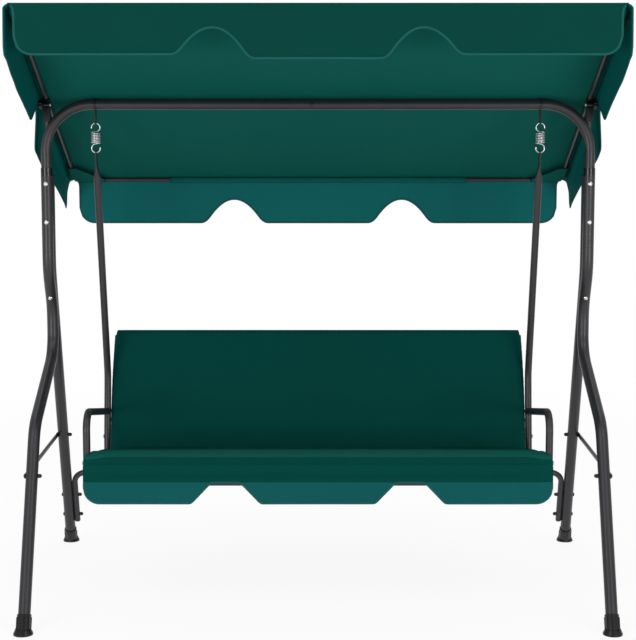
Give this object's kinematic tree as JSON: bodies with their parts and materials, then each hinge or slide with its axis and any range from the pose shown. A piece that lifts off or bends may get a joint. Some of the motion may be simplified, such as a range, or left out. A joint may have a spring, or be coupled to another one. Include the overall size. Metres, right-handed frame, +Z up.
{
  "type": "canopy swing bench",
  "caption": "Garden swing bench: a padded seat hung by springs from a tube frame with leaning legs, under a tilting cloth canopy with scalloped edges.",
  "frame": {"origin": "on the floor, midway between the four feet", "axes": "+X to the right along the bench as seen from the front, -Y to the front, +Z up"},
  "size_m": [1.784, 1.0946, 1.748],
  "materials": {
    "grey_tube": "satin powder coat",
    "zinc": "zinc plated",
    "black_metal": "black oxide",
    "black_plastic": "moulded",
    "green_cloth": "woven awning cloth",
    "green_padding": "quilted woven cover"
  },
  "bodies": {
    "frame": {"beam_bolt": "black_metal", "beam_collars": "black_plastic", "beam_sleeve": "grey_tube", "brace_bolts": "black_metal", "brace_cap_nuts": "black_metal", "canopy_bracket_left": "black_plastic", "canopy_bracket_right": "black_plastic", "canopy_pivot_bolts": "zinc", "canopy_stub_left": "grey_tube", "canopy_stub_right": "grey_tube", "crossbar_bolts": "black_metal", "crossbar_cap_nuts": "black_metal", "front_foot_left": "black_plastic", "front_foot_right": "black_plastic", "front_leg_left": "grey_tube", "front_leg_right": "grey_tube", "hanger_loop_left": "black_metal", "hanger_loop_right": "black_metal", "leg_bolts": "zinc", "rear_crossbar": "grey_tube", "rear_foot_left": "black_plastic", "rear_foot_right": "black_plastic", "rear_leg_left": "grey_tube", "rear_leg_plugs": "black_plastic", "rear_leg_right": "grey_tube", "side_brace_left": "grey_tube", "side_brace_right": "grey_tube", "top_beam_left": "grey_tube", "top_beam_right": "grey_tube"},
    "swing": {"spring_left": "zinc", "spring_right": "zinc"},
    "seat": {"armrest_left": "grey_tube", "armrest_right": "grey_tube", "back_pad": "green_padding", "back_top_tube": "grey_tube", "hanger_arm_left": "grey_tube", "hanger_arm_right": "grey_tube", "seat_bolts": "zinc", "seat_front_tube": "grey_tube", "seat_pad": "green_padding", "seat_rear_tube": "grey_tube", "seat_side_tube_left": "grey_tube", "seat_side_tube_right": "grey_tube", "seat_spacers": "grey_tube", "seat_valance": "green_cloth"},
    "canopy": {"canopy_clamp_left": "black_plastic", "canopy_clamp_right": "black_plastic", "canopy_front_tube": "grey_tube", "canopy_front_valance": "green_cloth", "canopy_rear_tube": "grey_tube", "canopy_rear_valance": "green_cloth", "canopy_side_tube_left": "grey_tube", "canopy_side_tube_right": "grey_tube", "canopy_side_valance_left": "green_cloth", "canopy_side_valance_right": "green_cloth", "canopy_top": "green_cloth"},
    "knob_left": {"tilt_knob_left": "black_plastic"},
    "knob_right": {"tilt_knob_right": "black_plastic"}
  },
  "joints": [
    {"name": "seat_swing", "type": "hinge", "parent": "frame", "child": "swing", "pos_m": [0, -0.01755, 1.438], "axis": [1, 0, 0], "range_deg": [-20, 20]},
    {"name": "seat_bounce", "type": "slide", "parent": "swing", "child": "seat", "axis": [0, 0, 1], "range_m": [-0.02, 0], "stiffness_N_per_m": 6000, "springref_m": 0.03, "deforming": ["spring_left", "spring_right"]},
    {"name": "canopy_tilt", "type": "hinge", "parent": "frame", "child": "canopy", "pos_m": [0, -0.01755, 1.4936], "axis": [1, 0, 0], "range_deg": [-5, 50]},
    {"name": "knob_left_turn", "type": "hinge", "parent": "frame", "child": "knob_left", "pos_m": [-0.84, -0.01755, 1.4936], "axis": [1, 0, 0], "continuous": true},
    {"name": "knob_right_turn", "type": "hinge", "parent": "frame", "child": "knob_right", "pos_m": [0.84, -0.01755, 1.4936], "axis": [1, 0, 0], "continuous": true}
  ]
}
